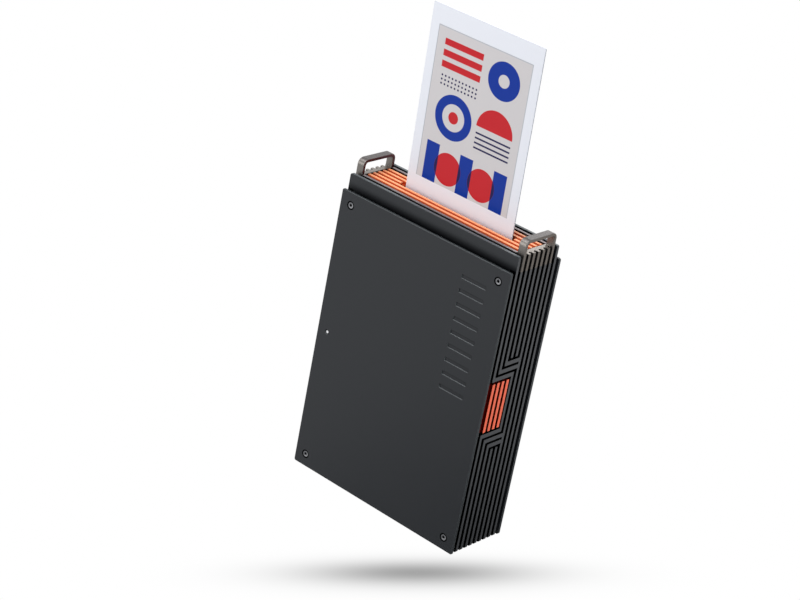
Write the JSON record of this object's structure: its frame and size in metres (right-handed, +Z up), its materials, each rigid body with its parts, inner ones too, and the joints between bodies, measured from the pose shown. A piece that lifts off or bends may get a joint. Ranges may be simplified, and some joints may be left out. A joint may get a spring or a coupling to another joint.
{
  "type": "instant photo printer",
  "caption": "Pocket instant photo printer with a finned case, orange exit grille, strap loops, hinged film door and a print standing in its slot.",
  "frame": {"origin": "centre of the footprint, on the plane that the lower edges of the plates stand on", "axes": "+Z up out of the print slot, -Y towards the front panel, +X towards the side with the button"},
  "size_m": [0.0862, 0.0304, 0.2033],
  "materials": {
    "panel_black": "satin",
    "case_black": "matte",
    "orange_plastic": "satin",
    "dark_metal": "blasted",
    "screw_steel": "blackened",
    "bright_steel": "satin",
    "lamp_plastic": "gloss",
    "board": "satin",
    "inner_plastic": "matte",
    "battery_wrap": "satin",
    "foam": "matte",
    "print_card": "gloss",
    "roller_rubber": "matte",
    "gear_plastic": "satin",
    "bush_brass": "satin",
    "lens_glass": "clear"
  },
  "bodies": {
    "root": {"battery": "battery_wrap", "battery_pad": "foam", "bracket_left": "bright_steel", "bracket_right": "bright_steel", "exit_grille": "orange_plastic", "film_pack": "inner_plastic", "film_stack": "print_card", "front_panel": "panel_black", "front_shell": "case_black", "handle_left": "dark_metal", "handle_right": "dark_metal", "handle_screws": "screw_steel", "hinge_pins": "bright_steel", "idler_pin": "bright_steel", "lens_bar": "lens_glass", "light_pipe": "lamp_plastic", "main_board": "board", "motor": "bright_steel", "pack_frame": "inner_plastic", "panel_screws": "screw_steel", "print_head": "inner_plastic", "rear_shell": "case_black", "roller_bushes": "bush_brass", "shell_screws": "screw_steel", "tact_switch": "inner_plastic", "top_frame": "case_black", "usb_socket": "bright_steel"},
    "side_button": {"side_button": "orange_plastic"},
    "film_door": {"film_door": "panel_black", "door_seal": "foam", "pressure_springs": "bright_steel"},
    "door_latch": {"door_latch": "case_black"},
    "front_roller": {"front_roller_shaft": "bright_steel", "front_roller_sleeve": "roller_rubber", "front_roller_gear": "gear_plastic"},
    "rear_roller": {"rear_roller_shaft": "bright_steel", "rear_roller_sleeve": "roller_rubber", "rear_roller_gear": "gear_plastic"},
    "idler": {"idler_gear": "gear_plastic"},
    "pinion": {"motor_pinion": "gear_plastic"},
    "print": {"print": "print_card"},
    "eject_claw": {"eject_claw": "bright_steel"}
  },
  "joints": [
    {"name": "button_press", "type": "slide", "parent": "root", "child": "side_button", "axis": [-1, 0, 0], "range_m": [0, 0.0007], "stiffness_N_per_m": 400},
    {"name": "door_hinge", "type": "hinge", "parent": "root", "child": "film_door", "pos_m": [-0.0419, 0.01385, 0], "axis": [0, 0, 1], "range_deg": [0, 100]},
    {"name": "latch_slide", "type": "slide", "parent": "film_door", "child": "door_latch", "axis": [0, 0, 1], "range_m": [0, 0.003]},
    {"name": "front_roller_spin", "type": "hinge", "parent": "root", "child": "front_roller", "pos_m": [0, -0.00167, 0.11985], "axis": [1, 0, 0], "continuous": true},
    {"name": "rear_roller_spin", "type": "hinge", "parent": "root", "child": "rear_roller", "pos_m": [0, 0.00406, 0.12015], "axis": [1, 0, 0], "continuous": true},
    {"name": "idler_spin", "type": "hinge", "parent": "root", "child": "idler", "pos_m": [0, -0.00383, 0.11251], "axis": [1, 0, 0], "continuous": true},
    {"name": "pinion_spin", "type": "hinge", "parent": "root", "child": "pinion", "pos_m": [0, -0.00585, 0.10562], "axis": [1, 0, 0], "continuous": true},
    {"name": "print_feed", "type": "slide", "parent": "root", "child": "print", "axis": [0, -0.0523, 0.9986], "range_m": [0, 0.02]},
    {"name": "claw_stroke", "type": "slide", "parent": "root", "child": "eject_claw", "axis": [0, 0, 1], "range_m": [0, 0.004], "stiffness_N_per_m": 20}
  ],
  "couplings": [
    {"joint": "rear_roller_spin", "follows": "front_roller_spin", "ratio": -1},
    {"joint": "idler_spin", "follows": "front_roller_spin", "ratio": -0.6},
    {"joint": "pinion_spin", "follows": "front_roller_spin", "ratio": 1.2}
  ]
}
